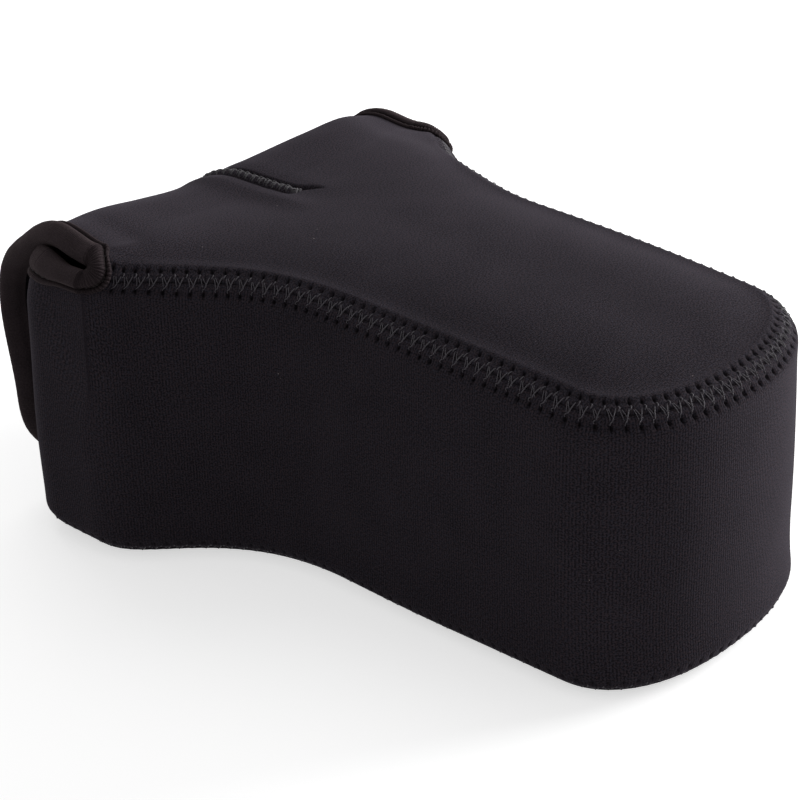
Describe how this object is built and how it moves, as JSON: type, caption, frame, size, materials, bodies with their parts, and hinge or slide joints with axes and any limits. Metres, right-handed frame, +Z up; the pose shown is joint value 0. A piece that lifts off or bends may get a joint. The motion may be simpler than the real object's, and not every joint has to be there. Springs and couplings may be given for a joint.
{
  "type": "camera pouch",
  "caption": "Soft black neoprene pouch for a camera with its lens on: wide hooded flap at the back, bound side slots, zigzag seams and a rounded lens end.",
  "frame": {"origin": "middle of the footprint, on the surface that the pouch lies on", "axes": "+Z up, +Y from the rounded lens end to the flap at the back, +X to the right when looking along +Y"},
  "size_m": [0.1922, 0.251, 0.1077],
  "materials": {
    "panel_cloth": "matte jersey knit on neoprene",
    "wall_cloth": "matte jersey knit on neoprene, wales upright",
    "binding_tape": "ribbed stretch tape, brownish black",
    "seam_thread": "spun polyester, dark grey",
    "dark_thread": "spun polyester, black",
    "hook_tape": "woven tape with stiff hooks",
    "loop_tape": "woven tape with soft loops"
  },
  "bodies": {
    "pouch": {"bottom_panel": "panel_cloth", "side_wall": "wall_cloth", "top_panel": "panel_cloth", "mouth_binding": "binding_tape", "mouth_binding_thread": "dark_thread", "top_seam_thread": "seam_thread", "rear_seam_thread": "seam_thread", "dart_thread_top": "dark_thread", "loop_patch": "loop_tape"},
    "flap": {"flap_panel": "panel_cloth", "flap_binding": "binding_tape", "flap_binding_thread": "dark_thread", "dart_thread_flap": "dark_thread", "hook_patch": "hook_tape"}
  },
  "joints": [
    {"name": "flap_hinge", "type": "hinge", "parent": "pouch", "child": "flap", "pos_m": [0, 0.0737, 0.1058], "axis": [1, 0, 0], "range_deg": [0, 135]}
  ]
}
